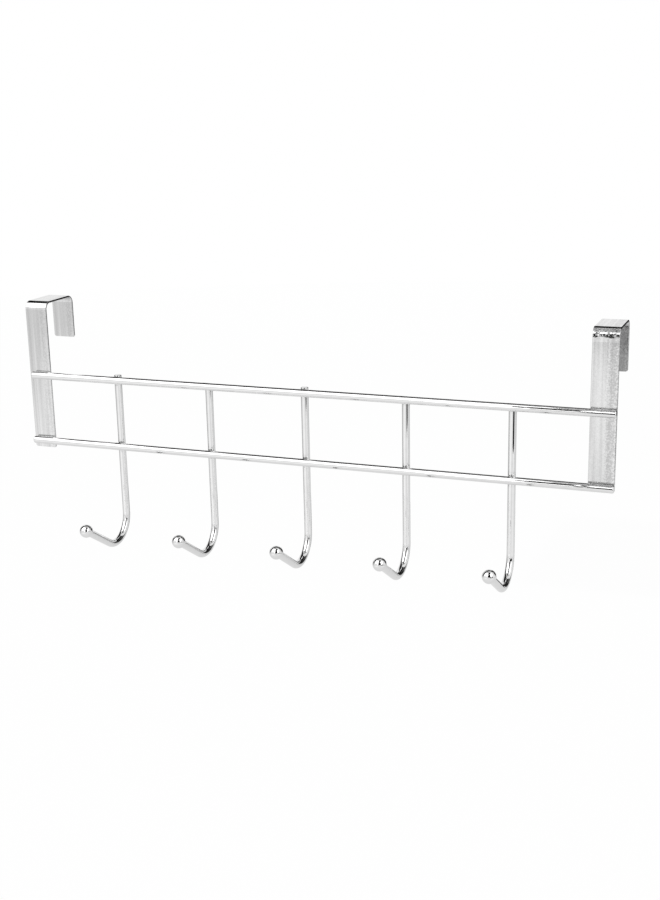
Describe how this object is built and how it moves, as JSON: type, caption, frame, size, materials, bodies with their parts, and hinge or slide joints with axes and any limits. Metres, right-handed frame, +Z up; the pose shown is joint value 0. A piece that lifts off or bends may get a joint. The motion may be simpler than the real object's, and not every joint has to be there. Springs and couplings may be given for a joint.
{
  "type": "over door hook",
  "caption": "Chromed steel rack that hangs over a door top on folded strips, with round wire rails and a row of J-shaped wire hooks that end in balls.",
  "frame": {"origin": "midway between the two hangers, on the seat under their top plates, in the plane of the backs of the front legs, where they lie against the door", "axes": "+X to the right along the rails, +Y back through the door, +Z up; the hooks reach forward along -Y"},
  "size_m": [0.45, 0.1006, 0.1832],
  "materials": {
    "chromed_wire": "bright chrome plate on drawn steel wire",
    "chromed_strip": "bright chrome plate on rolled steel strip, with faint lengthwise rolling lines"
  },
  "bodies": {
    "root": {"left_hanger_strip": "chromed_strip", "right_hanger_strip": "chromed_strip", "upper_rail": "chromed_wire", "lower_rail": "chromed_wire", "hook_1": "chromed_wire", "hook_2": "chromed_wire", "hook_3": "chromed_wire", "hook_4": "chromed_wire", "hook_5": "chromed_wire"}
  },
  "joints": []
}
